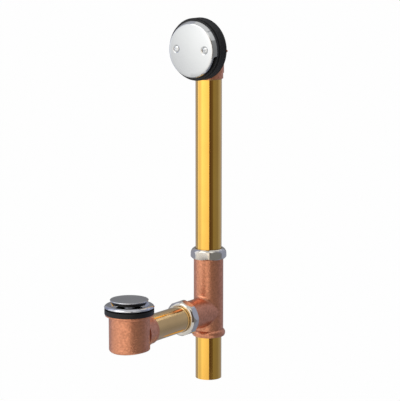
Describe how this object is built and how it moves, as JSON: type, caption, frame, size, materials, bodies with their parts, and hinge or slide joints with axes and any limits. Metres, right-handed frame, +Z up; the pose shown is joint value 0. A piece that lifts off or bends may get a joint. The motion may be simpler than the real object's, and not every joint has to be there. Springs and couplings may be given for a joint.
{
  "type": "bath waste and overflow",
  "caption": "Brass bath waste and overflow: face plate and gasket, long overflow tube, tee with slip nuts, waste tube, cast drain shoe, press-down stopper and tailpiece.",
  "frame": {"origin": "centre of the tailpiece's lower end", "axes": "+Z up along the tailpiece, tee and overflow tube; -Y towards the bath, the way the face plate faces"},
  "size_m": [0.089, 0.2497, 0.5305],
  "materials": {
    "brass_tube": "polished",
    "rough_casting": "as cast",
    "plated_nut": "plated",
    "chrome_plate": "polished",
    "black_rubber": "moulded",
    "spring_steel": "drawn",
    "nylon": "moulded",
    "machined_brass": "turned"
  },
  "bodies": {
    "drain_body": {"tailpiece": "brass_tube", "tee": "rough_casting", "overflow_slip_nut": "plated_nut", "overflow_slip_washer": "black_rubber", "overflow_friction_ring": "machined_brass", "overflow_tube": "brass_tube", "overflow_elbow": "rough_casting", "overflow_gasket": "black_rubber", "face_plate": "chrome_plate", "face_plate_screws": "chrome_plate", "waste_slip_nut": "plated_nut", "waste_slip_washer": "black_rubber", "waste_friction_ring": "machined_brass", "waste_tube": "brass_tube", "shoe": "rough_casting", "shoe_gasket": "black_rubber", "drain_flange": "chrome_plate", "stopper_post": "machined_brass", "stopper_spring": "spring_steel"},
    "stopper": {"stopper_cap": "chrome_plate", "stopper_seal": "black_rubber", "seal_retainer": "machined_brass", "stopper_sleeve": "machined_brass", "latch_collar": "nylon", "retaining_clip": "spring_steel"}
  },
  "joints": [
    {"name": "stopper_slide", "type": "slide", "parent": "drain_body", "child": "stopper", "axis": [0, 0, 1], "range_m": [-0.006, 0], "stiffness_N_per_m": 400, "springref_m": 0.008, "deforming": ["stopper_spring"]}
  ]
}
